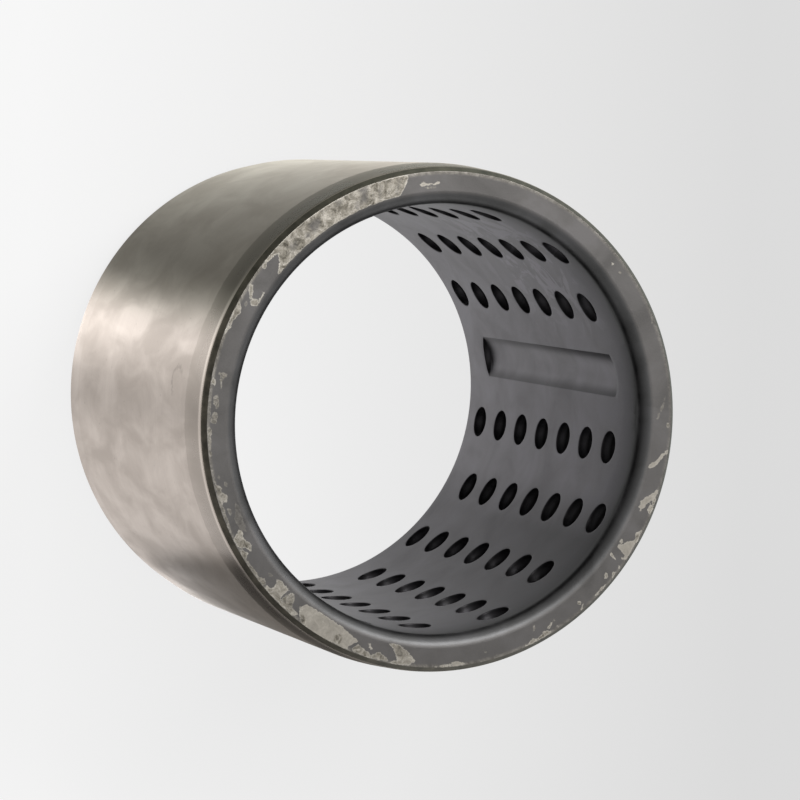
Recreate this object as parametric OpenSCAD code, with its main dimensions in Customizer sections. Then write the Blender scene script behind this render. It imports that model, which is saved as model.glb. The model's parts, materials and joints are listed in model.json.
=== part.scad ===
// Steel bushing for a heavy pin joint: one thick sleeve, turned, drilled and ground from one piece.
// It is pressed into a boss by its ground outside, and a pin turns in its greased bore.
// It stands on one end: the axis of the bore is +Z, the origin is the middle of the lower end face,
// and the grease groove lies towards +X.

/* [Sleeve] */
// Diameter of the bore that the pin turns in
bore_d = 80; // [50:0.5:140]
// Thickness of the wall, from the bore to the ground outside
wall = 7.5; // [7:0.1:16]
// Length from end face to end face
sleeve_len = 90; // [50:0.5:160]

/* [Ends] */
// Radius of the full round at each mouth of the bore
mouth_r = 2.4; // [0.5:0.1:3]
// Length of the lead-in taper at each end of the outside, measured from the end face
taper_len = 8.7; // [4:0.1:12]
// How far the lead-in taper brings the outside in, on the radius
taper_drop = 0.55; // [0.1:0.05:1]
// Length of the chamfer between the taper and the end face
chamfer_len = 1.3; // [0.4:0.1:3]
// Width of that chamfer on the radius
chamfer_w = 0.95; // [0.4:0.05:2]

/* [Grease pockets] */
// Diameter of each blind pocket
pocket_d = 6.2; // [3:0.1:8]
// Depth of a pocket's straight wall, from the bore
pocket_depth = 3.5; // [1:0.1:4]
// Point angle of the drill that cut the pockets
drill_point_angle = 118; // [100:1:140]
// Width of the drill's chisel edge, which leaves the very bottom of a pocket flat
drill_chisel_w = 0.8; // [0.4:0.1:1.6]
// Distance between the pockets of one row, along the axis
pocket_pitch = 11.1; // [9:0.1:20]
// Least distance from an end face to the middle of a pocket
pocket_margin = 8; // [7:0.1:14]
// Least distance between two neighbouring rows, round the bore
row_gap = 13.6; // [9:0.1:25]

/* [Grease groove] */
// Depth of the groove in the bore, at its middle
groove_depth = 1.4; // [0.4:0.1:2.5]
// Radius of the groove's round section
groove_section_r = 6.3; // [4:0.1:12]
// Radius of the arc that stops the groove at each end, seen from the bore's axis
groove_stop_r = 7; // [7:0.1:12]
// Distance from each end face to the groove
groove_gap = 11.1; // [9:0.1:15]

/* [Hidden] */
$fn = 96;
bore_r = bore_d / 2;
outer_r = bore_r + wall;
lead_in_r = outer_r - taper_drop;
face_r = lead_in_r - chamfer_w;

// Rows of pockets round the bore. They are even in number, so that every second row can be shifted
// by half a pitch, and the groove takes the place of the first one.
rows = 2 * floor(PI * bore_r / row_gap);
row_angle = 360 / rows;
row_shift = pocket_pitch / 4;
pocket_span = sleeve_len - 2 * (pocket_margin + row_shift);
pockets_in_row = floor(pocket_span / pocket_pitch) + 1;
pocket_r = pocket_d / 2;
chisel_r = drill_chisel_w / 2;
cone_depth = (pocket_r - chisel_r) / tan(drill_point_angle / 2);

// Half of the sleeve's wall in section, x from the axis and y up from the lower end face. The bore's
// mouth is left cut off from face to bore, and a disc fills it out to a full round.
module end_section() {
    polygon([
        [bore_r + mouth_r, 0],
        [face_r, 0],
        [lead_in_r, chamfer_len],
        [outer_r, taper_len],
        [outer_r, sleeve_len / 2],
        [bore_r, sleeve_len / 2],
        [bore_r, mouth_r]
    ]);
    translate([bore_r + mouth_r, mouth_r])
        circle(r = mouth_r);
}

// The turned sleeve, alike at both ends
module sleeve() {
    rotate_extrude($fn = 180)
        union() {
            end_section();
            translate([0, sleeve_len])
                mirror([0, 1])
                    end_section();
        }
}

// What the drill takes out of the wall for one pocket, along +X: a straight wall with the drill's
// cone at its end, cut off flat at the chisel edge. It starts inside the bore, so that the whole
// mouth is cut.
module pocket_cut() {
    rotate([0, 90, 0]) {
        translate([0, 0, bore_r - pocket_r])
            cylinder(r = pocket_r, h = pocket_r + pocket_depth, $fn = 36);
        translate([0, 0, bore_r + pocket_depth])
            cylinder(r1 = pocket_r, r2 = chisel_r, h = cone_depth, $fn = 36);
    }
}

// Every row of pockets but the first, each row shifted against the last by half a pitch
module pocket_cuts() {
    for (row = [1 : rows - 1], place = [0 : pockets_in_row - 1]) {
        side = row % 2 == 0 ? 1 : -1;
        middle = sleeve_len / 2 + side * row_shift;
        height = middle + (place - (pockets_in_row - 1) / 2) * pocket_pitch;
        rotate([0, 0, row * row_angle])
            translate([0, 0, height])
                pocket_cut();
    }
}

// The groove: a round bar's section run along the bore, stopped at both ends by an upright wall
// that bulges outwards as an arc of groove_stop_r
module groove_cut() {
    axis_r = bore_r + groove_depth - groove_section_r;
    intersection() {
        translate([axis_r, 0, 0])
            cylinder(r = groove_section_r, h = sleeve_len, $fn = 72);
        translate([axis_r, 0, 0])
            rotate([0, 90, 0])
                linear_extrude(2 * groove_section_r)
                    groove_plan();
    }
}

// Outline of the groove seen from the bore's axis, a slot with round ends. Its x points down.
module groove_plan() {
    stop_low = groove_gap + groove_stop_r;
    stop_high = sleeve_len - stop_low;
    translate([-stop_high, -groove_stop_r])
        square([stop_high - stop_low, 2 * groove_stop_r]);
    for (stop = [stop_low, stop_high])
        translate([-stop, 0])
            circle(r = groove_stop_r);
}

module bushing() {
    color("#8b867e")
        difference() {
            sleeve();
            pocket_cuts();
            groove_cut();
        }
}

bushing();
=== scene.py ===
"""Looks of the steel bushing: one turned, drilled and ground sleeve with blind grease pockets.

The sleeve stands on its lower end. Its axis is +Z and the grease groove lies towards +X.
Lengths below are in millimetres, and Blender gets them in metres.
"""

import json

import bpy
import numpy as np
from mathutils import Matrix, Vector


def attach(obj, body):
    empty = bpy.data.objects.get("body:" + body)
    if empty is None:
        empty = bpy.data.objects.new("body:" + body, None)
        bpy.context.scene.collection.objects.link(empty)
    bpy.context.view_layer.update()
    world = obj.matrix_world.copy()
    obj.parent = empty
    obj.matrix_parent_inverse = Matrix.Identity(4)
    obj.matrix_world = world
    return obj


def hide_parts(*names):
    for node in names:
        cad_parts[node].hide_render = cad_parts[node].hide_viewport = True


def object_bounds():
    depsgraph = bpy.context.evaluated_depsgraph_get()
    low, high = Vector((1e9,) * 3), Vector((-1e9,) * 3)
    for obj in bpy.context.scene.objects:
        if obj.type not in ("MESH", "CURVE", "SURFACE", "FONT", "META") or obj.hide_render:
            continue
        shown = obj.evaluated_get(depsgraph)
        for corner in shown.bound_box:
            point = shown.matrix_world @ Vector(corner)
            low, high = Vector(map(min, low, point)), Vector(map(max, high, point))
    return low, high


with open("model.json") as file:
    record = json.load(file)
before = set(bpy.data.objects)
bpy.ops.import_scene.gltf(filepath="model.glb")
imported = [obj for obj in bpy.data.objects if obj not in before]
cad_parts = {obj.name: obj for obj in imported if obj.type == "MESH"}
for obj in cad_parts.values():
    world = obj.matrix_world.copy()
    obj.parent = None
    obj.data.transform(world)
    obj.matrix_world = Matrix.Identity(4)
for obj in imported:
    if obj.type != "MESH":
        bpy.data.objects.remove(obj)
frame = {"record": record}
cad_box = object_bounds()

MM = 0.001
mounts = {mount["name"]: mount["dims"] for mount in frame["record"]["mounts"]}

# Sizes of the sleeve, as the part's source has them. The straight part of the bore stops where its
# mouths are rounded, and the ground part of the outside stops where the lead-in tapers begin.
LENGTH = round(cad_box[1][2] / MM, 3)
BORE_R = mounts["bore"]["r_mm"]
OUTER_R = mounts["outside"]["r_mm"]
MOUTH_R = (LENGTH - mounts["bore"]["length_mm"]) / 2
TAPER_LEN = (LENGTH - mounts["outside"]["length_mm"]) / 2
TAPER_DROP = 0.55
CHAMFER_LEN = 1.3
CHAMFER_W = 0.95
LEAD_IN_R = OUTER_R - TAPER_DROP
FACE_R = LEAD_IN_R - CHAMFER_W
FACE_INNER_R = BORE_R + MOUTH_R

# Radii of the outside's softened creases: face to chamfer, chamfer to taper, and taper to ground.
# The flat of a face stops at RIM_R, just before the first of them.
CREASES = (0.12, 1.6, 9.0)
RIM_R = FACE_R - CREASES[0]

# Blind grease pockets: straight wall, then the drill's cone, cut off at its chisel edge
ROWS = 18
HALF_ROW = np.pi / ROWS
POCKETS = 7
POCKET_R = 3.1
POCKET_DEPTH = 3.5
CHISEL_R = 0.4
CONE_DEPTH = (POCKET_R - CHISEL_R) / np.tan(np.radians(118 / 2))
PITCH = 11.1
POCKET_BREAK = 0.16

# Grease groove: a round bar's section along the bore, with an arc for each end
GROOVE_DEPTH = 1.4
GROOVE_R = 6.3
GROOVE_STOP_R = 7.0
GROOVE_GAP = 11.1
GROOVE_BREAK = 0.12
GROOVE_AXIS = BORE_R + GROOVE_DEPTH - GROOVE_R

# Mesh density: steps across one row of pockets and along one pitch, and FINE times as many round
# the worn face, which a seam SEAM_W wide joins to the edge on each side. LOOPS lead from a cell's
# border to the mouth in it, as shares of the way.
STEPS = 12
ROUND_STEPS = ROWS * STEPS
ROUND = np.linspace(0, 2 * np.pi, ROUND_STEPS + 1)
FINE = 5
FINE_ROUND = np.linspace(0, 2 * np.pi, ROUND_STEPS * FINE + 1)
FACE_RINGS = 16
SEAM_W = 0.08
MOUTH_RINGS = 10
CREASE_STEPS = 4
LOOPS = (0, 0.5, 0.88, 1)


# Meshing tools


def quads_of(rows, columns):
    """Quads of a grid of points, row after row: each joins a point to the next in its row and in
    its column."""
    corner = np.arange((rows - 1) * columns).reshape(rows - 1, columns)[:, :-1].ravel()
    return np.stack([corner, corner + 1, corner + columns + 1, corner + columns], axis=1)


class Skin:
    """Collects patches of points with their faces, and welds them where they touch."""

    def __init__(self):
        self.points = []
        self.quads = []
        self.count = 0

    def grid(self, points, flip=False):
        """Adds a patch of shape (rows, columns, 3)."""
        rows, columns = points.shape[:2]
        quads = quads_of(rows, columns)
        if flip:
            quads = quads[:, ::-1]
        self.add(points.reshape(-1, 3), quads)

    def add(self, points, quads):
        """Adds points and their quads. A quad that names a point twice is a triangle."""
        self.points.append(points)
        self.quads.append(quads + self.count)
        self.count += len(points)

    def welded(self):
        """Points that agree to a thousandth of a millimetre become one. A quad that shrank to a
        triangle is made one, and a quad that shrank to a line goes."""
        points = np.concatenate(self.points)
        quads = np.concatenate(self.quads)
        keys = np.round(points * 1000).astype(np.int64)
        _, first, same = np.unique(keys, axis=0, return_index=True, return_inverse=True)
        quads = same.reshape(-1)[quads]
        narrow = (quads == np.roll(quads, 1, axis=1)).any(axis=1)
        split = np.concatenate([quads[narrow][:, [0, 1, 2]], quads[narrow][:, [0, 2, 3]]])
        distinct = (split != np.roll(split, 1, axis=1)).all(axis=1)
        return points[first], quads[~narrow], split[distinct]


def polar(radius, angle, height):
    """Points from their distance to the axis, their angle in radians and their height."""
    radius, angle, height = np.broadcast_arrays(radius, angle, height)
    return np.stack([radius * np.cos(angle), radius * np.sin(angle), height], axis=-1)


def blend(start, end, shares):
    """Rings between two loops of points, each a share of the way from the first to the second."""
    shares = np.asarray(shares)[:, None, None]
    return start[None] * (1 - shares) + end[None] * shares


def rounded(points, radii, steps):
    """A profile of straight lines with its corners rounded. Each corner is cut off by an arc that
    touches both lines, at a distance of radius times the tangent of half the turn. A guard point
    on each line, just clear of the arc, keeps the smooth shading of the arc off the flats."""
    points = np.asarray(points, dtype=float)
    profile = [points[:1]]
    for before, corner, after, radius in zip(points, points[1:], points[2:], radii):
        into = (corner - before) / np.linalg.norm(corner - before)
        out = (after - corner) / np.linalg.norm(after - corner)
        turn = np.arctan2(into[0] * out[1] - into[1] * out[0], into @ out)
        reach = radius * np.tan(abs(turn) / 2)
        side = np.array([-into[1], into[0]]) * np.sign(turn)
        centre = corner - into * reach + side * radius
        angle = np.linspace(0, abs(turn), steps + 1)[:, None]
        arc = centre - side * radius * np.cos(angle) + into * radius * np.sin(angle)
        guard = 2.5 * reach / steps
        profile.append(np.concatenate([arc[:1] - into * guard, arc, arc[-1:] + out * guard]))
    profile.append(points[-1:])
    return np.concatenate(profile)


# The sleeve


def outside(skin):
    """The outside from face to face: chamfer, lead-in taper, ground stretch, taper and chamfer,
    turned round the axis. Its creases are softened as deburring leaves them."""
    half = [(RIM_R, 0.0), (FACE_R, 0.0), (LEAD_IN_R, CHAMFER_LEN), (OUTER_R, TAPER_LEN)]
    corners = half + [(radius, LENGTH - height) for radius, height in half[::-1]]
    profile = rounded(corners, CREASES + CREASES[::-1], CREASE_STEPS)
    skin.grid(polar(profile[:, :1], ROUND, profile[:, 1:]))


def mouths(skin):
    """The full round at each mouth of the bore: a quarter circle turned round the axis."""
    turn = np.linspace(0, np.pi / 2, MOUTH_RINGS)[:, None]
    radius = FACE_INNER_R - MOUTH_R * np.cos(turn)
    drop = MOUTH_R * (1 - np.sin(turn))
    skin.grid(polar(radius, ROUND, LENGTH - drop), flip=True)
    skin.grid(polar(radius, ROUND, drop))


def faces(skin):
    """The two flat faces. The upper one is cut finer, so that it can carry its wear, and a seam
    on each side joins it to the edges beside it."""
    skin.grid(polar(np.linspace(FACE_INNER_R, RIM_R, 4)[:, None], ROUND, 0.0))
    radius = np.linspace(FACE_INNER_R + SEAM_W, RIM_R - SEAM_W, FACE_RINGS)[:, None]
    skin.grid(polar(radius, FINE_ROUND, LENGTH), flip=True)
    seam(skin, RIM_R, radius[-1, 0], True)
    seam(skin, FACE_INNER_R, radius[0, 0], False)


def seam(skin, coarse_r, fine_r, outer):
    """Joins a coarse ring to a fine one: each coarse step meets FINE fine steps. Its first point
    holds the steps before the middle one as a fan, and its second point those after it."""
    coarse = polar(coarse_r, ROUND[:-1], LENGTH)
    fine = polar(fine_r, FINE_ROUND[:-1], LENGTH)
    step = np.arange(ROUND_STEPS)[:, None]
    here = np.arange(FINE)[None]
    hold = np.where(here < FINE // 2, step, (step + 1) % ROUND_STEPS)
    low = ROUND_STEPS + step * FINE + here
    high = ROUND_STEPS + (step * FINE + here + 1) % (ROUND_STEPS * FINE)
    middle = here == FINE // 2
    start = np.where(middle, np.broadcast_to(step, hold.shape), hold)
    quads = np.stack([start, hold, high, low], axis=-1).reshape(-1, 4)
    skin.add(np.concatenate([coarse, fine]), quads if outer else quads[:, ::-1])


def loop_round(across, low, along, high):
    """Corner-to-corner loop, as places across and heights: over the low end, up one side through
    the heights along it, back over the high end and down the other side."""

    def line(places, heights):
        return np.stack(np.broadcast_arrays(places, heights), axis=1)

    bottom = line(across, low)
    right = line(across[-1], along)
    top = line(across, high)[::-1]
    left = line(across[0], along)[::-1]
    return np.concatenate([bottom[:-1], right[:-1], top[:-1], left])


def cell_border(heights):
    """The border of a cell of the bore that is one row wide, as angle and height"""
    angle = np.linspace(-HALF_ROW, HALF_ROW, STEPS + 1)
    return loop_round(angle, heights[0], heights, heights[-1])


def pocket_cell(skin, row_angle, height):
    """One pocket and the bore round it. Loops lead from the cell's border to the mouth, which is
    the circle that the drill cuts in the bore: at a distance y from the pocket's middle, the
    bore lies at the root of its radius squared less y squared. Its points are spread half evenly
    and half towards those of the border. Then come the broken edge, a quarter circle, the
    straight wall from a level ring just behind it, the drill's cone and the flat of its chisel
    edge."""
    border = cell_border(np.linspace(-PITCH / 2, PITCH / 2, STEPS + 1))
    towards = np.arctan2(border[:, 1], border[:, 0] * BORE_R)
    even = np.linspace(-0.75 * np.pi, 1.25 * np.pi, len(border))
    around = (np.unwrap(towards) + even) / 2

    broken_r = POCKET_R + POCKET_BREAK
    mouth = np.stack([
        np.arcsin(broken_r * np.cos(around) / BORE_R),
        broken_r * np.sin(around),
    ], axis=1)
    rings = blend(border, mouth, LOOPS)
    skin.grid(polar(BORE_R, rings[..., 0] + row_angle, rings[..., 1] + height), flip=True)

    turn = np.linspace(0, np.pi / 2, 4)[:, None]
    edge_r = POCKET_R + POCKET_BREAK * (1 - np.sin(turn))
    edge_in = np.sqrt(BORE_R**2 - (edge_r * np.cos(around)) ** 2)
    edge_in = edge_in + POCKET_BREAK * (1 - np.cos(turn))
    level = BORE_R + 0.35
    foot = BORE_R + POCKET_DEPTH
    tip = foot + CONE_DEPTH
    wall = np.array([(POCKET_R, level), (POCKET_R, foot), (CHISEL_R, tip), (0.0, tip)])
    radius = np.concatenate([edge_r, wall[:, :1]])
    inward = np.concatenate([edge_in, np.broadcast_to(wall[:, 1:], (len(wall), len(around)))])
    skin.grid(turned(inward, radius * np.cos(around), radius * np.sin(around) + height, row_angle),
              flip=True)


def turned(inward, across, height, angle):
    """Points given along a row's own direction, across it and up, turned to the row's angle."""
    return np.stack([
        inward * np.cos(angle) - across * np.sin(angle),
        inward * np.sin(angle) + across * np.cos(angle),
        np.broadcast_to(height, np.broadcast_shapes(inward.shape, across.shape)),
    ], axis=-1)


def groove_cell(skin, heights):
    """The groove and the bore round it. Its outline is a slot whose ends are arcs, and its floor
    is part of a round bar beside the bore's axis, which meets the bore where both circles have
    the same chord. The long edges are broken by a flat, and the ends by a quarter circle at the
    head of an upright wall. There, upright is 1, and it falls to 0 where the wall runs out."""
    border = cell_border(heights)
    chord_in = (BORE_R**2 - GROOVE_R**2 - GROOVE_AXIS**2) / (2 * GROOVE_AXIS)
    half_w = np.sqrt(GROOVE_R**2 - chord_in**2)
    stop = GROOVE_GAP + GROOVE_STOP_R
    share = np.linspace(-1, 1, STEPS + 1)
    deep = GROOVE_AXIS + np.sqrt(GROOVE_R**2 - (share * half_w) ** 2)
    deep = deep - np.sqrt(BORE_R**2 - (share * half_w) ** 2)
    upright = np.clip(deep / GROOVE_BREAK, 0, 1)

    def outline(side_offset, end_offset):
        """The slot's outline, moved outwards by one distance at its long sides and by another,
        given for each point across, at its ends."""
        across = share * (half_w + side_offset)
        low = stop - np.sqrt((GROOVE_STOP_R + end_offset) ** 2 - across**2)
        along = np.linspace(low[0], LENGTH - low[0], len(heights))
        return loop_round(across, low, along, LENGTH - low)

    edge = GROOVE_BREAK
    sides = np.zeros(len(heights) - 1)
    at_end = np.concatenate([upright[:-1], sides, upright[:0:-1], sides, upright[:1]])
    outer = outline(edge, edge * np.ones(len(share)))
    mouth = np.stack([np.arcsin(outer[:, 0] / BORE_R), outer[:, 1]], axis=1)
    rings = blend(border, mouth, LOOPS)
    skin.grid(polar(BORE_R, rings[..., 0], rings[..., 1]), flip=True)

    def bore_at(across):
        return np.sqrt(BORE_R**2 - across**2)

    def floor_at(across):
        return GROOVE_AXIS + np.sqrt(GROOVE_R**2 - across**2)

    # Half-way, the quarter circle is this share of the break off both walls, and the flat has
    # gone this share of it in
    bend = 0.3
    sag = 0.12
    middle = outline(0.0, bend * edge * upright)
    inner = outline(-edge, -edge * (1 - upright))
    turn_in = bore_at(middle[:, 0]) + edge * (sag + (bend - sag) * at_end)
    foot = floor_at(inner[:, 0])
    head = np.where(at_end > 0, np.minimum(bore_at(inner[:, 0]) + edge, foot), foot)
    loops = [(bore_at(outer[:, 0]), outer), (turn_in, middle), (head, inner), (foot, inner)]
    skin.grid(np.stack([np.column_stack([inward, loop]) for inward, loop in loops]), flip=True)

    across = share * (half_w - edge)
    low = stop - np.sqrt((GROOVE_STOP_R - edge * (1 - upright)) ** 2 - across**2)
    along = np.linspace(0, 1, len(heights))[:, None]
    height = low + (LENGTH - 2 * low) * along
    floor = np.stack(np.broadcast_arrays(floor_at(across), across, height), axis=-1)
    skin.grid(floor, flip=True)


def bore(skin):
    """The bore, row by row: the groove in the first, and pockets in the others, each row moved by
    half a pitch against the last. Plain strips fill each row to the rounds at the mouths."""
    step = PITCH / STEPS
    shift = PITCH / 4
    reach = POCKETS * PITCH / 2
    low = LENGTH / 2 - shift - reach
    lines = low + step * np.arange(round((2 * reach + 2 * shift) / step) + 1)
    heights = np.concatenate([[MOUTH_R], lines, [LENGTH - MOUTH_R]])
    groove_cell(skin, heights)
    for row in range(1, ROWS):
        middle = LENGTH / 2 + (shift if row % 2 == 0 else -shift)
        row_angle = 2 * np.pi * row / ROWS
        angle = np.linspace(-HALF_ROW, HALF_ROW, STEPS + 1) + row_angle
        below = heights[heights < middle - reach + step / 2]
        above = heights[heights > middle + reach - step / 2]
        skin.grid(polar(BORE_R, angle, below[:, None]), flip=True)
        skin.grid(polar(BORE_R, angle, above[:, None]), flip=True)
        for place in range(POCKETS):
            pocket_cell(skin, row_angle, middle + (place - (POCKETS - 1) / 2) * PITCH)


skin = Skin()
outside(skin)
mouths(skin)
faces(skin)
bore(skin)
points, quads, triangles = skin.welded()

mesh = bpy.data.meshes.new("bushing_sleeve")
mesh.from_pydata((points * MM).tolist(), [], quads.tolist() + triangles.tolist())
mesh.validate()
mesh.update()
mesh.shade_smooth()
sleeve = bpy.data.objects.new("bushing_sleeve", mesh)
bpy.context.scene.collection.objects.link(sleeve)
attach(sleeve, "root")
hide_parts("bushing")


# Wear of the upper face


# Angles of the wear run clockwise, seen from above, from a line this many degrees past the groove.
# Each patch is its share of bare steel and its outline, as (angle, distance to the axis).
WEAR_START = 10.93
FLECKS = [
    (0.6, [(0.7, 45.1), (0.9, 45.8), (1.8, 45.8), (1.9, 45.2), (1.2, 45)]),
    (0.3, [(24.8, 45.8), (27.2, 45.8), (27.2, 45.6), (24.9, 45.6)]),
    (0.95, [(31.6, 43), (32.1, 43.5), (32.7, 43.2), (32.4, 42.8), (31.9, 42.7)]),
    (0.95, [(37.2, 45.7), (37.9, 45.8), (37.9, 45.4), (37.4, 45.3)]),
    (0.95, [(38.9, 45.6), (39.3, 45.7), (40.6, 45.8), (40, 45.3), (39.4, 45.1)]),
    (0.95, [(40.5, 44.3), (41.2, 44.9), (41.5, 45.1), (42, 44.6), (41.5, 44.2), (40.9, 44)]),
    (0.92, [(50.3, 44.3), (50.8, 44.9), (51.2, 44.5), (50.9, 44.1)]),
    (0.4, [(56.9, 45.8), (57.6, 45.9), (57.5, 45.7)]),
    (0.4, [(58, 45.7), (58.3, 45.8), (58.8, 45.4), (58.5, 45.3)]),
    (0.45, [(58.1, 44.1), (58.4, 44.4), (58.7, 44.1), (58.4, 43.7)]),
    (0.9, [(59.2, 44.2), (59.8, 44.8), (60.8, 45), (60.8, 44.6), (60, 44.3), (59.5, 44.1)]),
    (0.5, [(63.5, 43), (63.9, 43.8), (64.4, 43.8), (64.2, 43.2), (63.9, 42.9)]),
    (0.4, [(77.5, 44.2), (77.8, 44.5), (78, 44.2), (77.8, 44)]),
    (0.95, [(107.5, 44.2), (108.2, 44.2), (108.8, 43.5), (108.1, 43.4)]),
    (0.25, [(139, 43.4), (139.8, 44), (140.3, 43.6), (139.6, 43.2)]),
    (0.5, [(157.4, 44.5), (158, 44.9), (159.1, 44.7), (158.8, 44.2), (157.9, 44.1)]),
    (0.5, [(164.1, 43.7), (164.7, 44.1), (165.3, 43.7), (164.7, 43.4)]),
    (0.25, [(166.2, 44.6), (166.8, 45), (167.2, 44.6), (166.6, 44.4)]),
    (0.95, [(188.2, 45.2), (188.5, 45.8), (190, 45.8), (189.8, 45.3), (188.9, 45)]),
    (0.6, [(189.8, 43.9), (191, 44.7), (191.6, 44.7), (191.3, 43.2), (190.6, 43.2)]),
    (0.35, [(207.6, 44.3), (208.6, 44.7), (209.5, 44.6), (208.8, 44.2)]),
    (0.95, [(317.7, 44.1), (318.2, 44.5), (318.6, 44.3), (318.3, 43.9)]),
    (0.5, [(320.9, 44.2), (321.5, 44.6), (321.4, 44.2)]),
]
SCRATCHES = [
    (1.0, [(7, 45.7), (8, 45.9), (9, 45), (11.2, 43.9), (12.6, 42.6), (12.2, 42.2), (11.5, 42.5),
           (10, 43.9), (8.2, 44.8)]),
    (1.0, [(16.6, 45.5), (17.8, 45.9), (18.6, 45.5), (20.6, 44.5), (23.2, 43.6), (22.4, 43.1),
           (21, 43), (19.3, 44), (17.6, 45.1)]),
    (0.95, [(36.7, 44.2), (37, 44.3), (36.8, 43), (36.6, 42.4), (36.2, 42.2), (36, 42.5),
           (36.4, 43.3)]),
    (0.9, [(50.1, 45.1), (51.1, 45.9), (51.9, 46), (51.2, 45.5), (50.6, 45.1)]),
    (0.6, [(187.8, 43.9), (189.4, 44.3), (190.2, 44.3), (189.5, 43.9), (188, 43.7)]),
    (1.0, [(262.1, 43.8), (262.9, 44.2), (263.8, 44), (265.8, 43.8), (266.6, 44.1),
            (267.2, 43.9), (266.2, 43.5), (264, 43.6), (262.6, 43.5)]),
    (0.6, [(263.5, 43.2), (266.3, 43.15), (266.2, 42.9), (264, 43)]),
    (0.3, [(334.3, 45.9), (336.4, 45.4), (336.2, 45.2), (334.2, 45.7)]),
    (0.25, [(340.2, 45.9), (341.6, 45.7), (341.5, 45.5), (340.2, 45.7)]),
    (0.3, [(354.4, 45), (357, 44.2), (359.9, 43.2), (359.9, 42.9), (356.8, 43.9), (354.4, 44.8)]),
]
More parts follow.
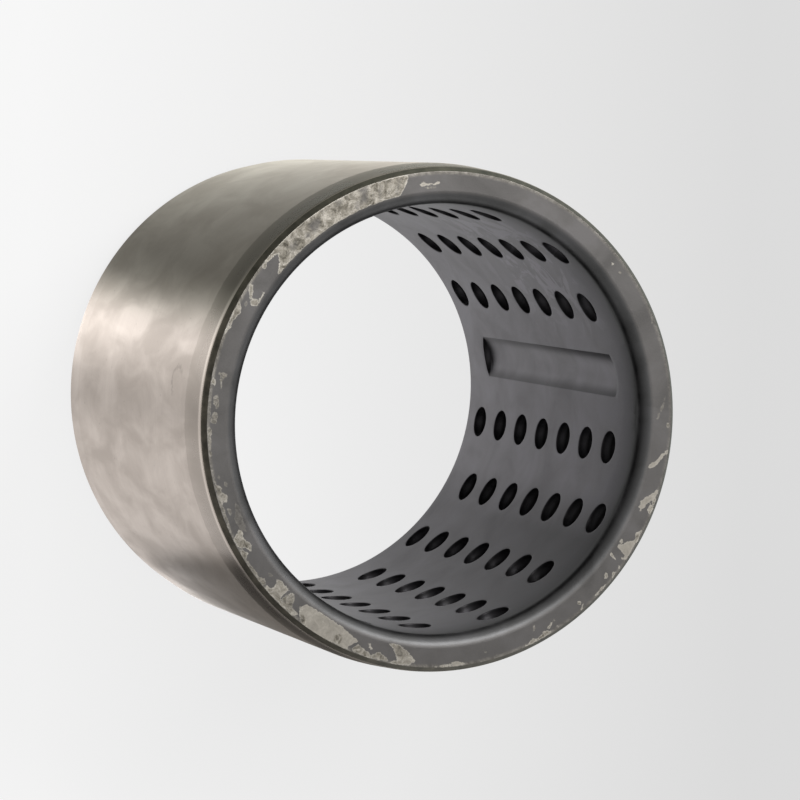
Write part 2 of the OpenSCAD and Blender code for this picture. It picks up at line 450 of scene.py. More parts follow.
CHIPS = [
    (0.9, [(18.6, 45.6), (19.4, 45.9), (23.2, 45.8), (22.6, 45.1), (21.5, 44.9), (20.4, 45),
           (21, 45.4), (19.6, 45.3)]),
    (0.95, [(27.2, 45.7), (31, 45.8), (30.8, 45.2), (29.5, 45.1), (28.2, 44.9), (27.8, 45.3)]),
    (1.0, [(30.6, 45.6), (35, 45.8), (35.7, 45.1), (35.5, 44.8), (34.9, 45.3), (34.4, 45),
            (34.5, 44.3), (33.9, 43), (33.3, 42.7), (32.8, 43.5), (31.6, 44), (30.7, 44.8)]),
    (0.92, [(42.7, 45.5), (43, 45.8), (45, 45.75), (46.9, 45.8), (46.4, 45.5), (44.6, 45.4)]),
    (0.85, [(60.2, 45.7), (61.2, 45.9), (64.6, 45.9), (67.8, 45.9), (68, 45.7), (66.5, 45.5),
           (65.4, 45.1), (64.4, 45.5), (62.6, 45.2), (61.9, 44.9), (61.2, 45.2)]),
    (0.25, [(72.6, 45.7), (76.8, 45.8), (75.5, 45.5), (73.2, 45.5)]),
    (1.0, [(83.2, 45.7), (84.5, 45.9), (86.7, 45.9), (86.7, 45.3), (84.9, 45.1), (83.8, 45.4)]),
    (0.8, [(86.7, 45.9), (91, 45.9), (91, 45.6), (88.5, 45.5), (86.7, 45.4)]),
    (0.95, [(95.9, 44.8), (97.2, 45.7), (99.8, 45.9), (102.3, 45.9), (101.9, 45.5),
            (100.4, 45.2), (101, 44.2), (102, 43.2), (103.6, 42.3), (100.9, 42.2), (98.4, 43.2),
            (96.8, 44.2)]),
    (0.8, [(102.3, 45.8), (105.5, 45.7), (107, 45.95), (111.5, 45.8), (112.2, 45.3),
           (111.1, 44.2), (110, 44.5), (108.6, 44.9), (107.6, 45.2), (106.8, 45.3), (106, 44.6),
           (105.2, 44.4), (104.3, 44.7), (103.4, 45.2)]),
    (1.0, [(112.9, 45.9), (120, 46), (126, 46), (127.4, 45.4), (128.8, 43.9), (127.7, 42.6),
           (124.5, 42.3), (120.5, 42.3), (116.8, 42.5), (113.6, 43.2), (111.3, 43.8),
           (112.6, 44.7), (113.3, 45.3)]),
    (0.75, [(128, 45), (129, 45.9), (131.4, 45.8), (133.6, 45.2), (133.4, 44.2), (132.8, 43),
            (131.9, 42.7), (131, 43.6), (130.3, 44.8), (129.3, 44.9)]),
    (0.95, [(131.6, 45.9), (138.2, 45.9), (138.6, 45.5), (137, 44.9), (136.9, 44.3),
            (137.8, 43.2), (136.9, 42.7), (133.6, 42.8), (134, 43.8), (133.9, 45), (132.8, 45.3)]),
    (0.7, [(138.6, 45.9), (142, 45.9), (147, 46), (147, 45.6), (143, 45.4), (141, 45.4),
           (140.2, 44.9), (139.2, 45.2)]),
    (0.8, [(146.4, 45.5), (147.2, 45.9), (149, 45.8), (148.8, 45.1), (147.4, 44.8)]),
    (0.9, [(147.2, 44), (148.6, 44.6), (149.4, 45.4), (150, 45.8), (151.8, 45.9), (152.6, 45),
           (153.4, 44.2), (152.7, 43.8), (151.2, 44.1), (150.1, 43.9), (149.2, 43.4),
           (148.4, 43.4)]),
    (0.6, [(152.6, 45.8), (159, 45.8), (165, 45.8), (165.2, 45.5), (159, 45.3), (155, 45.4)]),
    (0.22, [(152, 43), (153.2, 43.9), (155.8, 44.2), (158, 43.5), (160, 42.8), (157, 42.5)]),
    (0.75, [(160.2, 45.5), (164.9, 45.7), (164.6, 44.7), (164.2, 44.5), (163.4, 44.9),
            (162.7, 44.3), (161.9, 44), (160.4, 44.4), (161.2, 45)]),
    (0.6, [(165, 45.8), (169, 45.8), (169, 45.6), (165.1, 45.5)]),
    (0.7, [(170.8, 45.7), (174, 45.8), (178.6, 45.9), (178.7, 45.2), (177.2, 45.1),
           (175.8, 45.3), (172.8, 45.4)]),
    (0.55, [(179.3, 44.4), (179.6, 45.3), (181.8, 45), (182.2, 44.3), (181, 43.9)]),
    (0.4, [(180, 45.8), (184, 45.8), (187.5, 45.8), (187.5, 45.5), (180, 45.4)]),
    (0.55, [(182.8, 44.3), (184.2, 44.9), (185.6, 45.1), (186.3, 44.3), (185, 44), (183.2, 44)]),
    (0.85, [(200.2, 45.8), (204, 45.9), (208.6, 45.9), (207.4, 45.1), (206.2, 44.5),
            (205.4, 44.9), (203.5, 45.2), (201.6, 45.2)]),
    (0.95, [(208.7, 43.4), (209.6, 44), (210.6, 43.8), (210.8, 42.8), (210.3, 42.2),
           (209.6, 42.5)]),
    (0.95, [(209.9, 44.2), (211.2, 45.1), (212.8, 45.8), (213.1, 45.2), (211.9, 44.5),
            (210.4, 44)]),
    (0.9, [(210.4, 42.7), (212.3, 42.6), (213, 42.9), (213.3, 42.5), (211.5, 42.2),
           (210.5, 42.3)]),
    (0.9, [(217.6, 45), (217.8, 45.8), (220, 46), (228, 46), (236, 46), (244, 46), (252, 46),
           (259, 46), (259.6, 45.6), (258.7, 44.4), (257.4, 43), (256.6, 42.4), (250, 42.3),
           (240, 42.3), (230, 42.2), (222, 42.2), (218.6, 42.3), (220.5, 43.3), (222.8, 44.9),
           (221, 45.3), (219, 45.4), (218.2, 44.9)]),
]

# Islands of coat that stay inside the large patches, each as its share of coat and its outline
ISLANDS = [
    (0.35, [(115.9, 45.4), (116.7, 45.2), (117, 44.6), (116.4, 44.2), (115.9, 44.8)]),
    (0.6, [(126, 45.9), (127.4, 45.6), (127, 45), (126.2, 45.3)]),
    (0.6, [(128.4, 44.6), (129.8, 44.6), (130.2, 43.4), (129.4, 42.8), (128.6, 43.5)]),
    (0.5, [(224.8, 43.4), (226, 44.4), (228, 44.6), (227.6, 43.6), (226, 43)]),
    (0.9, [(230.2, 43.4), (230.8, 44.1), (231.6, 43.7), (231.2, 43.1)]),
    (0.7, [(232.2, 45.1), (234, 45.2), (235.6, 44.9), (235, 43.9), (233.8, 43.2), (232.6, 43),
           (232, 44)]),
    (0.7, [(240.6, 45), (241, 45.6), (242.4, 45.3), (242, 44.9)]),
    (0.7, [(244.8, 42.6), (244.9, 43.6), (245.6, 44.1), (246, 43.4), (245.4, 42.7)]),
    (0.7, [(246.8, 46), (249.6, 46), (248.8, 44.9), (248.4, 43.4), (246.6, 43.2), (246.2, 44),
           (247.2, 44.8)]),
    (0.5, [(251, 43), (251.9, 44.9), (252.6, 45), (251.9, 43.2), (251.3, 42.6)]),
    (0.6, [(256, 42.8), (257, 44.6), (257.4, 45.3), (256.9, 45.4), (256.4, 44.2), (255.6, 43)]),
]


def distance_outside(spots, outline):
    """How far each spot lies outside an outline, and below zero how far inside it. It is the
    distance to the nearest side, with a sign from how often a ray meets the sides."""
    corners = np.asarray(outline)
    nearest = np.full(len(spots), np.inf)
    inside = np.zeros(len(spots), dtype=bool)
    for start, end in zip(corners, np.roll(corners, -1, axis=0)):
        side = end - start
        share = np.clip((spots - start) @ side / (side @ side), 0, 1)
        nearest = np.minimum(nearest, np.linalg.norm(spots - start - share[:, None] * side, axis=1))
        crosses = (start[1] > spots[:, 1]) != (end[1] > spots[:, 1])
        rise = np.where(side[1] == 0, 1, side[1])
        inside ^= crosses & (spots[:, 0] < start[0] + side[0] * (spots[:, 1] - start[1]) / rise)
    return np.where(inside, -nearest, nearest)


def wear(points):
    """Two values for each point of the sleeve: how surely the coat is gone, from 0 well outside
    the patches to 1 well inside, and how bare the nearest patch is. Only the upper face has them.
    Angles are laid out as lengths at the middle of the face."""
    fade = 0.9
    at_face = np.flatnonzero(points[:, 2] > LENGTH - 0.01)
    spot = points[at_face]
    angle = (-np.degrees(np.arctan2(spot[:, 1], spot[:, 0])) - WEAR_START) % 360
    scale = np.array([np.radians((FACE_R + FACE_INNER_R) / 2), 1.0])
    spots = np.stack([angle, np.hypot(spot[:, 0], spot[:, 1])], axis=1) * scale

    def within(outline):
        return np.clip(0.5 - distance_outside(spots, outline * scale) / fade, 0, 1)

    gone = np.zeros(len(spots))
    bare = np.zeros(len(spots))
    for share, outline in FLECKS + SCRATCHES + CHIPS:
        near = within(outline)
        bare = np.where(near > gone, share, bare)
        gone = np.maximum(gone, near)
    for share, outline in ISLANDS:
        bare = bare * (1 - share * within(outline))
    values = np.zeros((2, len(points)))
    values[:, at_face] = gone, bare
    return values


for name, values in zip(("coat_gone", "how_bare"), wear(points)):
    mesh.attributes.new(name, "FLOAT", "POINT").data.foreach_set("value", values.astype(np.float32))


# Materials


# A Mix node that mixes colours takes its share at input 0 and the two colours at 6 and 7. A Map
# Range node takes its value at 0, the range that it comes from at 1 and 2, and the range that it
# goes to, 0 to 1 unless given, at 3 and 4. A noise pattern is about 0.5 on average, so where it is
# added to a length, the marks that this is compared with allow for half of its share.
COLOUR_MIX = {"output": 2, "data_type": "RGBA"}


def linear(colour):
    """An sRGB hex colour as linear red, green and blue, with full alpha"""
    srgb = np.array([int(colour[place:place + 2], 16) for place in (1, 3, 5)]) / 255
    rgb = np.where(srgb <= 0.04045, srgb / 12.92, ((srgb + 0.055) / 1.055) ** 2.4)
    return (*rgb.tolist(), 1.0)


def grey(value):
    """A linear grey, or a plain value for a ramp or a socket that takes a colour"""
    return (value, value, value, 1.0)


def add(tree, kind, inputs=None, output=0, stops=(), **settings):
    """Adds a node. Its inputs, by name or number, are values or other nodes' outputs. The rest
    are its own settings, and stops are those of a colour ramp. It gives back one output."""
    node = tree.nodes.new("ShaderNode" + kind)
    for name, value in settings.items():
        setattr(node, name, value)
    for name, value in (inputs or {}).items():
        if isinstance(value, bpy.types.NodeSocket):
            tree.links.new(value, node.inputs[name])
        else:
            node.inputs[name].default_value = value
    if stops:
        marks = node.color_ramp.elements
        marks.remove(marks[1])
        marks[0].position, marks[0].color = stops[0]
        for position, colour in stops[1:]:
            marks.new(position).color = colour
    return node.outputs[output] if node.outputs else None


def material(name):
    """A new material, with its empty node tree"""
    made = bpy.data.materials.new(name)
    made.use_nodes = True
    made.node_tree.nodes.clear()
    return made, made.node_tree


def turn_towards(tree, direction):
    """The share of a full turn to a direction, clockwise seen from above, from the line that the
    wear starts from"""
    sine = add(tree, "SeparateXYZ", {0: direction}, output=1)
    cosine = add(tree, "SeparateXYZ", {0: direction}, output=0)
    around = add(tree, "Math", {0: sine, 1: cosine}, operation="ARCTAN2")
    turn = add(tree, "Math", {
        0: around, 1: -0.5 / np.pi, 2: -WEAR_START / 360,
    }, operation="MULTIPLY_ADD")
    return add(tree, "Math", {0: turn}, operation="FRACT")


def distance_from(tree, value, mark):
    """How far a value is from a mark"""
    beyond = add(tree, "Math", {0: value, 1: mark}, operation="SUBTRACT")
    return add(tree, "Math", {0: beyond}, operation="ABSOLUTE")


def distance_to_axis(tree, place):
    """How far a place is from the sleeve's axis"""
    flat = add(tree, "VectorMath", {0: place, 1: (1, 1, 0)}, operation="MULTIPLY")
    return add(tree, "VectorMath", {0: flat}, output="Value", operation="LENGTH")


def ground_steel():
    """Carbon steel, ground on the outside with a wheel that runs round it. That leaves fine lines
    round the sleeve, which spread a highlight along the axis and hardly at all around it. The
    lines are about 0.1 mm apart, and drawn 0.35 mm apart to show. The steel is a warm grey that
    handling left cloudy and specked. Its lead-in taper is darker, with a painted highlight along
    its polished edge."""
    made, tree = material("ground_steel")
    place = add(tree, "TexCoord", output="Object")
    height = add(tree, "SeparateXYZ", {0: place}, output=2)
    # Lines and bands are drawn out round the sleeve, and clouds along it
    drawn = add(tree, "VectorMath", {0: place, 1: (30, 30, 1 / (0.35 * MM))}, operation="MULTIPLY")
    lines = add(tree, "TexNoise", {"Vector": drawn, "Scale": 1.0, "Detail": 3.0, "Roughness": 0.6})
    drawn = add(tree, "VectorMath", {0: place, 1: (60, 60, 1 / (3 * MM))}, operation="MULTIPLY")
    bands = add(tree, "TexNoise", {"Vector": drawn, "Scale": 1.0, "Detail": 4.0, "Roughness": 0.6})
    drawn = add(tree, "VectorMath", {0: place, 1: (1, 1, 0.5)}, operation="MULTIPLY")
    clouds = add(tree, "TexNoise", {
        "Vector": drawn, "Scale": 1 / (8 * MM), "Detail": 5.0, "Roughness": 0.55, "Distortion": 0.5,
    })
    specks = add(tree, "TexNoise", {
        "Vector": place, "Scale": 1 / (1.1 * MM), "Detail": 3.0, "Roughness": 0.7,
    })

    tone = add(tree, "Mix", {
        0: add(tree, "MapRange", {0: lines, 1: 0.3, 2: 0.7}),
        6: linear("#c6bdb3"),
        7: linear("#cdc4ba"),
    }, **COLOUR_MIX)
    taper = turned_taper(tree, height, clouds, specks)
    for share, colour in (
        (add(tree, "MapRange", {0: clouds, 1: 0.38, 2: 0.62, 4: 0.8}), "#b3aaa0"),
        (add(tree, "MapRange", {0: bands, 1: 0.4, 2: 0.75, 4: 0.18}), "#b2a99f"),
        (add(tree, "MapRange", {0: specks, 1: 0.66, 2: 0.74, 4: 0.5}), "#8d867b"),
        (taper, "#999187"),
        # Painted highlight along the polished edge at the top of the taper, stronger on one side
        (edge_highlight_and_burnish(tree, place, height), "#d8cfc4"),
        (dried_drop(tree, place, specks), "#857d74"),
    ):
        tone = add(tree, "Mix", {0: share, 6: tone, 7: linear(colour)}, **COLOUR_MIX)

    smooth = add(tree, "MapRange", {0: clouds, 1: 0.3, 2: 0.7, 3: 0.32, 4: 0.38})
    shader = add(tree, "BsdfPrincipled", {
        "Base Color": tone,
        "Metallic": 1.0,
        "Roughness": add(tree, "Math", {0: taper, 1: -0.08, 2: smooth}, operation="MULTIPLY_ADD"),
        "Anisotropic": 0.95,
        "Anisotropic Rotation": 0.25,
        "Tangent": add(tree, "Tangent", direction_type="RADIAL", axis="Z"),
        "Normal": add(tree, "Bump", {"Strength": 0.04, "Distance": 0.02 * MM, "Height": lines}),
    })
    add(tree, "OutputMaterial", {"Surface": shader})
    return made


def turned_taper(tree, height, clouds, specks):
    """How far the finish is that of the upper lead-in taper, which was turned and not ground. It
    changes in a ragged step where the wheel ran out, and slowly beyond it."""
    start = (LENGTH - TAPER_LEN) * MM
    uneven = add(tree, "Math", {0: clouds, 1: 2 * MM, 2: height}, operation="MULTIPLY_ADD")
    uneven = add(tree, "Math", {0: specks, 1: 0.8 * MM, 2: uneven}, operation="MULTIPLY_ADD")
    step = add(tree, "MapRange", {0: uneven, 1: start + 1.3 * MM, 2: start + 1.5 * MM, 4: 0.6})
    slow = add(tree, "MapRange", {0: height, 1: start, 2: start + 4 * MM, 4: 0.4})
    return add(tree, "Math", {0: step, 1: slow}, operation="ADD")


def edge_highlight_and_burnish(tree, place, height):
    """How brightly the edge between the upper taper and its chamfer shows: a painted highlight on
    polished steel, on one side more than on the other"""
    off_edge = distance_from(tree, height, (LENGTH - 1.6) * MM)
    highlight_and_burnish = add(tree, "MapRange", {0: off_edge, 1: 0, 2: 0.8 * MM, 3: 0.8, 4: 0})
    side = add(tree, "ValToRGB", {0: turn_towards(tree, place)}, stops=[
        (0.2, grey(0.3)), (0.4, grey(1)), (0.57, grey(1)), (0.61, grey(0.15)),
    ])
    return add(tree, "Math", {0: highlight_and_burnish, 1: side}, operation="MULTIPLY")


def dried_drop(tree, place, specks):
    """How strongly the mark of a drop shows, near the worn end. It dried to half a ring, which is
    kept to the side that a slanting direction points to."""
    mark = np.radians(-187.5 - WEAR_START)
    centre = (OUTER_R * MM * np.cos(mark), OUTER_R * MM * np.sin(mark), (LENGTH - 15.5) * MM)
    slant = (0.7 * np.sin(mark), -0.7 * np.cos(mark), -0.7)
    away = add(tree, "VectorMath", {0: place, 1: centre}, output="Value", operation="DISTANCE")
    away = add(tree, "Math", {0: specks, 1: 3.5 * MM, 2: away}, operation="MULTIPLY_ADD")
    off_ring = distance_from(tree, away, 4.5 * MM)
    ring = add(tree, "MapRange", {0: off_ring, 1: 0.1 * MM, 2: 0.55 * MM, 3: 0.45, 4: 0})
    aside = add(tree, "VectorMath", {0: place, 1: centre}, operation="SUBTRACT")
    aside = add(tree, "VectorMath", {0: aside, 1: slant}, output="Value", operation="DOT_PRODUCT")
    kept = add(tree, "MapRange", {0: aside, 1: -1.5 * MM, 2: 0.3 * MM})
    return add(tree, "Math", {0: ring, 1: kept}, operation="MULTIPLY")


def phosphated_steel():
    """Turned and drilled steel with a manganese phosphate coat, a dark grey, slightly oily layer
    of fine crystals. The crystals are about 0.02 mm wide, and drawn 0.25 mm wide to show. On the
    upper face the coat is chipped off and worn off in places, with painted highlights along the
    edges of the patches and the outer rim. In the bore, shade is painted into the coat near the
    upper mouth, down one side, and in the pockets."""
    made, tree = material("phosphated_steel")
    place = add(tree, "TexCoord", output="Object")
    crystals = add(tree, "TexNoise", {
        "Vector": place, "Scale": 1 / (0.25 * MM), "Detail": 3.0, "Roughness": 0.6,
    })
    stains = add(tree, "TexNoise", {
        "Vector": place, "Scale": 1 / (9 * MM), "Detail": 5.0, "Roughness": 0.55, "Distortion": 0.5,
    })
    ragged = add(tree, "TexNoise", {
        "Vector": place, "Scale": 1 / (0.9 * MM), "Detail": 4.0, "Roughness": 0.7,
    })
    coat = add(tree, "ValToRGB", {0: stains}, stops=[
        (0.35, linear("#727273")), (0.5, linear("#6a6a6a")), (0.68, linear("#5e5e5e")),
    ])
    coat = add(tree, "Mix", {
        0: add(tree, "MapRange", {0: crystals, 1: 0.3, 2: 0.7, 4: 0.25}),
        6: coat,
        7: linear("#7c7a79"),
    }, **COLOUR_MIX)
    # Painted shade down one side of the bore, and paler patches on the other side
    coat = bore_side_shade_and_patches(tree, place, coat)
    # Painted shade in and just behind the upper mouth of the bore, multiplied into the coat
    mouth_shade = painted_mouth_shade(tree, place, stains)
    coat = add(tree, "Mix", {0: 1.0, 6: coat, 7: mouth_shade}, blend_type="MULTIPLY", **COLOUR_MIX)

    steel, chipped = chips(tree, place, ragged)
    # Coat worn off along the outer rim of the upper face, with a painted glint there
    rim_wear_and_glint = rim_wear_and_painted_glint(tree, place, ragged)
    # The chips and the rim together, the rim with its painted glint
    worn = add(tree, "Math", {0: chipped, 1: rim_wear_and_glint}, operation="MAXIMUM")
    tone = add(tree, "Mix", {0: worn, 6: coat, 7: steel}, **COLOUR_MIX)
    # Painted shade, nearly black, in the pockets from 2 mm down and at the rims of the pockets and
    # the groove
    grease = painted_shade_in_hollows(tree, place)
    tone = add(tree, "Mix", {0: grease, 6: tone, 7: linear("#1c1b1a")}, **COLOUR_MIX)
    shader = add(tree, "BsdfPrincipled", {
        "Base Color": tone,
        "Metallic": 0.85,
        "Specular Tint": grey(0.7),
        "Roughness": add(tree, "MapRange", {0: worn, 3: 0.46, 4: 0.44}),
        "Normal": add(tree, "Bump", {"Strength": 0.25, "Distance": 0.03 * MM, "Height": crystals}),
    })
    add(tree, "OutputMaterial", {"Surface": shader})
    return made


def chips(tree, place, ragged):
    """The colour of the steel where the coat chipped off, and how far it shows at each spot. The
    steel is pale, with blotches and veins, a painted highlight along the border of each patch,
    and the barest patches wiped smooth. The outlines are ragged, and crumbs of coat stay inside
    them."""
    gone = add(tree, "Attribute", output="Fac", attribute_name="coat_gone")
    bare = add(tree, "Attribute", output="Fac", attribute_name="how_bare")
    edge = add(tree, "Math", {0: ragged, 1: 1.3, 2: gone}, operation="MULTIPLY_ADD")
    blotches = add(tree, "TexNoise", {
        "Vector": place, "Scale": 1 / (1.8 * MM), "Detail": 6.0, "Roughness": 0.72,
        "Distortion": 0.9,
    })
    steel = add(tree, "ValToRGB", {0: blotches}, stops=[
        (0.34, linear("#514d45")), (0.42, linear("#807b70")), (0.52, linear("#a29c91")),
        (0.64, linear("#cac4b9")),
    ])
    veins = add(tree, "TexNoise", {
        "Vector": place, "Scale": 1 / (1.4 * MM), "Detail": 2.0, "Distortion": 0.8,
    })
    off_vein = distance_from(tree, veins, 0.5)
    veins = add(tree, "MapRange", {0: off_vein, 1: 0.004, 2: 0.022, 3: 0.6, 4: 0})
    # Painted highlight along the border of each patch
    border = add(tree, "ValToRGB", {0: add(tree, "MapRange", {0: edge, 1: 1.05, 2: 1.55})}, stops=[
        (0.0, grey(0)), (0.25, grey(0.75)), (0.6, grey(0)),
    ])
    large = add(tree, "MapRange", {0: bare, 1: 0.72, 2: 0.86, 3: 0.4, 4: 1})
    border = add(tree, "Math", {0: border, 1: large}, operation="MULTIPLY")
    wiped = add(tree, "MapRange", {0: bare, 1: 0.92, 2: 1.0, 4: 0.7})
    for share, colour in ((veins, "#5c574e"), (border, "#dcd7cc"), (wiped, "#b8b2a8")):
        steel = add(tree, "Mix", {0: share, 6: steel, 7: linear(colour)}, **COLOUR_MIX)

    crumbs = add(tree, "TexNoise", {
        "Vector": place, "Scale": 1 / (0.6 * MM), "Detail": 4.0, "Roughness": 0.6,
    })
    crumbs = add(tree, "MapRange", {0: crumbs, 1: 0.52, 2: 0.64})
    left = add(tree, "MapRange", {0: bare, 1: 0.7, 2: 1.0, 3: 0.5, 4: 0.12})
    crumbs = add(tree, "Math", {0: crumbs, 1: left}, operation="MULTIPLY")
    bared = add(tree, "Math", {0: 1.0, 1: crumbs}, operation="SUBTRACT")
    patch = add(tree, "MapRange", {0: edge, 1: 1.06, 2: 1.2})
    chipped = add(tree, "Math", {0: bare, 1: 1.2}, operation="MULTIPLY", use_clamp=True)
    chipped = add(tree, "Math", {0: chipped, 1: patch}, operation="MULTIPLY")
    return steel, add(tree, "Math", {0: chipped, 1: bared}, operation="MULTIPLY")


def rim_wear_and_painted_glint(tree, place, ragged):
    """How far the coat is worn off along the outer edge of the upper face, with a painted glint
    along that edge, on some sides more than on others"""
    height = add(tree, "SeparateXYZ", {0: place}, output=2)
    side = add(tree, "ValToRGB", {0: turn_towards(tree, place)}, stops=[
        (0.0, grey(0.15)), (0.28, grey(0.4)), (0.42, grey(0.35)), (0.65, grey(0.6)),
        (0.78, grey(0.4)), (1.0, grey(0.15)),
    ])
    off_axis = distance_to_axis(tree, place)
    wander = add(tree, "Math", {0: ragged, 1: 0.5 * MM, 2: off_axis}, operation="MULTIPLY_ADD")
    rim_wear_and_glint = add(tree, "MapRange", {0: wander, 1: (FACE_R - 0.5) * MM, 2: (FACE_R - 0.05) * MM})
    on_top = add(tree, "Math", {0: height, 1: (LENGTH - 0.05) * MM}, operation="GREATER_THAN")
    rim_wear_and_glint = add(tree, "Math", {0: rim_wear_and_glint, 1: on_top}, operation="MULTIPLY")
    return add(tree, "Math", {0: rim_wear_and_glint, 1: side}, operation="MULTIPLY")


def behind_mouths(tree, height):
    """1 where the bore is at least 4 mm behind both faces, and 0 beside them"""
    off_middle = distance_from(tree, height, LENGTH / 2 * MM)
    return add(tree, "Math", {0: off_middle, 1: (LENGTH / 2 - 4) * MM}, operation="LESS_THAN")


def bore_side_shade_and_patches(tree, place, coat):
    """The coat with painted shade down one side of the bore, which thins out towards the lower end,
    and paler patches on the other side"""
    height = add(tree, "SeparateXYZ", {0: place}, output=2)
    turn = turn_towards(tree, place)
    # Painted shade down one side of the bore
    side_shade = add(tree, "ValToRGB", {0: turn}, stops=[
        (0.06, grey(0)), (0.1, grey(1)), (0.17, grey(0.9)), (0.25, grey(0.3)), (0.3, grey(0)),
    ])
    depth = add(tree, "MapRange", {0: height, 1: LENGTH * MM, 2: (LENGTH - 24) * MM})
    starts = add(tree, "ValToRGB", {0: depth}, stops=[(0.08, grey(0)), (0.16, grey(0.6))])
    side_shade = add(tree, "Math", {0: side_shade, 1: starts}, operation="MULTIPLY")
    thins = add(tree, "MapRange", {
        0: height, 1: (LENGTH - 25) * MM, 2: (LENGTH - 65) * MM, 3: 1, 4: 0.6,
    })
    side_shade = add(tree, "Math", {0: side_shade, 1: thins}, operation="MULTIPLY")
    coat = add(tree, "Mix", {0: side_shade, 6: coat, 7: grey(0)}, **COLOUR_MIX)

    # Paler patches on the other side of the bore
    paler_patches = add(tree, "TexNoise", {
        "Vector": place, "Scale": 1 / (9 * MM), "Detail": 4.0, "Roughness": 0.6, "Distortion": 2.0,
    })
    paler_patches = add(tree, "MapRange", {0: paler_patches, 1: 0.5, 2: 0.56})
    side = add(tree, "ValToRGB", {0: turn}, stops=[
        (0.77, grey(0)), (0.82, grey(0.45)), (0.9, grey(0.45)), (0.95, grey(0)),
    ])
    paler_patches = add(tree, "Math", {0: paler_patches, 1: side}, operation="MULTIPLY")
    down = add(tree, "MapRange", {0: height, 1: LENGTH * MM, 2: 0})
    stretch = add(tree, "ValToRGB", {0: down}, stops=[
        (0.08, grey(0)), (0.15, grey(1)), (0.45, grey(1)), (0.6, grey(0.2)),
    ])
    paler_patches = add(tree, "Math", {0: paler_patches, 1: stretch}, operation="MULTIPLY")
    return add(tree, "Mix", {0: paler_patches, 6: coat, 7: linear("#908f92")}, **COLOUR_MIX)


def painted_mouth_shade(tree, place, stains):
    """What the coat's colour is multiplied by: painted shade, nearly black in the rounded upper
    mouth and just behind it, which clears down the bore in stray tongues. The groove's floor is
    a little paler."""
    height = add(tree, "SeparateXYZ", {0: place}, output=2)
    depth = add(tree, "MapRange", {0: height, 1: LENGTH * MM, 2: (LENGTH - 24) * MM})
    strays = add(tree, "Math", {0: stains, 1: 0.5}, operation="SUBTRACT")
    strays = add(tree, "Math", {0: strays, 1: depth}, operation="MULTIPLY")
    strays = add(tree, "Math", {0: strays, 1: 1.7, 2: depth}, operation="MULTIPLY_ADD")
    # Painted shade: nearly black just inside the upper mouth, clearing further down the bore
    mouth_shade = add(tree, "ValToRGB", {0: strays}, stops=[
        (0.0, (1.0, 0.96, 0.93, 1.0)), (0.003, grey(0.83)), (0.013, grey(0.7)),
        (0.03, grey(0.6)), (0.05, grey(0.54)), (0.072, grey(0.22)), (0.1, grey(0.09)),
        (0.13, grey(0.26)), (0.18, (0.42, 0.41, 0.44, 1.0)), (0.34, (0.67, 0.65, 0.7, 1.0)),
        (0.42, (0.81, 0.79, 0.85, 1.0)), (0.7, (0.95, 0.925, 0.98, 1.0)),
        (1.0, (0.97, 0.94, 1.0, 1.0)),
    ])
    off_axis = distance_to_axis(tree, place)
    groove = add(tree, "MapRange", {0: off_axis, 1: (BORE_R + 0.3) * MM, 2: (BORE_R + 1.1) * MM})
    inside = behind_mouths(tree, height)
    groove = add(tree, "Math", {0: groove, 1: inside}, operation="MULTIPLY")
    return add(tree, "Mix", {0: groove, 6: mouth_shade, 7: (1.07, 1.04, 1.1, 1.0)}, **COLOUR_MIX)


def painted_shade_in_hollows(tree, place):
    """How far painted shade darkens the edges of the pockets and the groove, and the pockets from
    2 mm down"""
    height = add(tree, "SeparateXYZ", {0: place}, output=2)
    off_axis = distance_to_axis(tree, place)
    depth = add(tree, "MapRange", {0: off_axis, 1: BORE_R * MM, 2: (BORE_R + 4) * MM})
    # Painted shade at the rims, and deep in the pockets
    grease = add(tree, "ValToRGB", {0: depth}, stops=[
        (0.003, grey(0)), (0.02, grey(0.55)), (0.12, grey(0.4)), (0.25, grey(0)), (0.35, grey(0)),
        (0.5, grey(0.88)),
    ])
    inside = behind_mouths(tree, height)
    return add(tree, "Math", {0: grease, 1: inside}, operation="MULTIPLY")


def browned_chamfer():
    """The turned outer chamfer, which kept a darker, browner skin than the face because nothing
    rubs on it"""
    made, tree = material("browned_chamfer")
    place = add(tree, "TexCoord", output="Object")
    stains = add(tree, "TexNoise", {
        "Vector": place, "Scale": 1 / (3 * MM), "Detail": 4.0, "Roughness": 0.65,
    })
    shader = add(tree, "BsdfPrincipled", {
        "Base Color": add(tree, "Mix", {
            0: add(tree, "MapRange", {0: stains, 1: 0.35, 2: 0.65}),
            6: linear("#44423a"),
            7: linear("#5f5b50"),
        }, **COLOUR_MIX),
        "Metallic": 0.85,
        "Roughness": 0.28,
    })
    add(tree, "OutputMaterial", {"Surface": shader})
    return made


# Each face of the mesh takes its finish from where its middle lies. Farther out than the flat of
# the end faces, that is the ground outside's between the two chamfers, and the chamfer's on them.
for finish in (ground_steel(), phosphated_steel(), browned_chamfer()):
    mesh.materials.append(finish)
GROUND, COATED, BROWNED = range(3)
middles = np.empty(3 * len(mesh.polygons))
mesh.polygons.foreach_get("center", middles)
middles = middles.reshape(-1, 3) / MM
beyond_face = np.hypot(middles[:, 0], middles[:, 1]) > FACE_R
off_face = np.minimum(middles[:, 2], LENGTH - middles[:, 2])
outer_finish = np.where(off_face > CHAMFER_LEN - 0.1, GROUND, BROWNED)
finish_of = np.where(beyond_face, outer_finish, COATED)
mesh.polygons.foreach_set("material_index", finish_of.astype(np.int32))


# Studio


# The strongest glow that the floor and the walls need. Their shares of it are 1 or less.
GLOW = 3.0


def share_of_glow(light):
    """A light as a grey share of the strongest glow"""
    return grey(light / GLOW)


def by_turn(lights):
    """Stops of a ramp over a full turn, from lights given as (angle, light)"""
    return [(angle / 360, share_of_glow(light)) for angle, light in lights]


